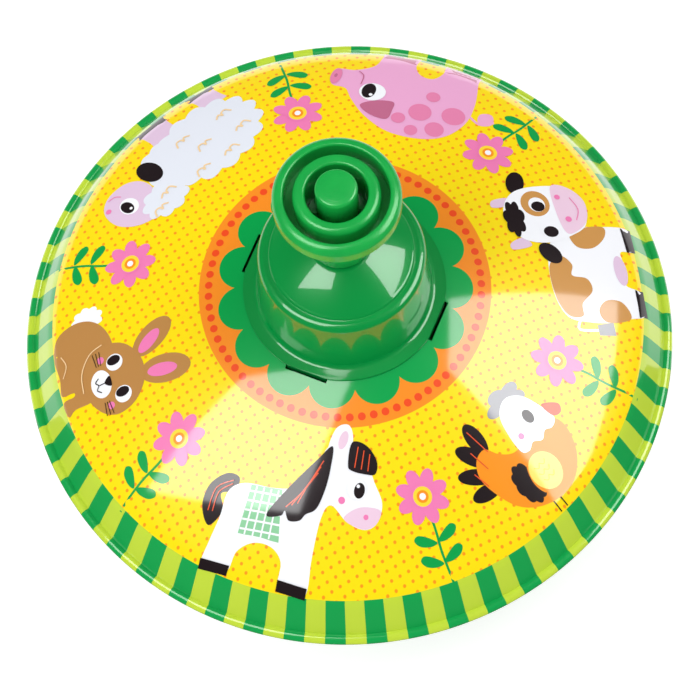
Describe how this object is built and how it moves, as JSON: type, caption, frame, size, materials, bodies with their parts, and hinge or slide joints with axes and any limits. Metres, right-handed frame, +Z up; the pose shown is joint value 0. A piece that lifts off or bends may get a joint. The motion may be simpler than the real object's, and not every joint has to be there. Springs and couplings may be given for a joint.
{
  "type": "spinning top",
  "caption": "Pump-action humming top: printed tinplate body, pressed green cap, twisted drive rod under a moulded knob, clutch inside and a pointed foot below.",
  "frame": {"origin": "the point of the foot, on the floor under the spin axis", "axes": "+Z up along the spin axis towards the knob; +X to one side, at right angles to a dark stripe's centre line"},
  "size_m": [0.2, 0.2, 0.1628],
  "materials": {
    "printed_tinplate": "lithographed in yellow, orange, green and white under clear varnish",
    "green_tinplate": "green lacquer, gloss",
    "cap_tinplate": "green lacquer, gloss",
    "dark_moulding": "satin moulding",
    "clutch_moulding": "natural acetal, satin",
    "plated_steel": "zinc plated",
    "bright_steel": "bright drawn",
    "green_moulding": "satin moulding",
    "knob_moulding": "satin moulding with faint flow lines"
  },
  "bodies": {
    "foot": {"foot": "green_moulding", "foot_pin": "bright_steel", "foot_retainer": "plated_steel"},
    "top": {"upper_shell": "printed_tinplate", "lower_shell": "green_tinplate", "cap": "cap_tinplate", "guide_bush": "dark_moulding", "clutch_seat": "clutch_moulding", "clutch_cover": "plated_steel", "spindle_tube": "plated_steel"},
    "handle": {"drive_rod": "bright_steel", "rod_stop": "plated_steel", "knob_pin": "bright_steel", "knob": "knob_moulding"},
    "nut": {"clutch_nut": "clutch_moulding"}
  },
  "joints": [
    {"name": "top_spin", "type": "hinge", "parent": "foot", "child": "top", "pos_m": [0, 0, 0], "axis": [0, 0, 1], "continuous": true},
    {"name": "handle_slide", "type": "slide", "parent": "top", "child": "handle", "axis": [0, 0, 1], "range_m": [0, 0.076]},
    {"name": "nut_spin", "type": "hinge", "parent": "top", "child": "nut", "pos_m": [0, 0, 0.1], "axis": [0, 0, 1], "range_deg": [-427.6, 0]}
  ],
  "couplings": [
    {"joint": "nut_spin", "follows": "handle_slide", "rad_per_m": -98.175}
  ]
}
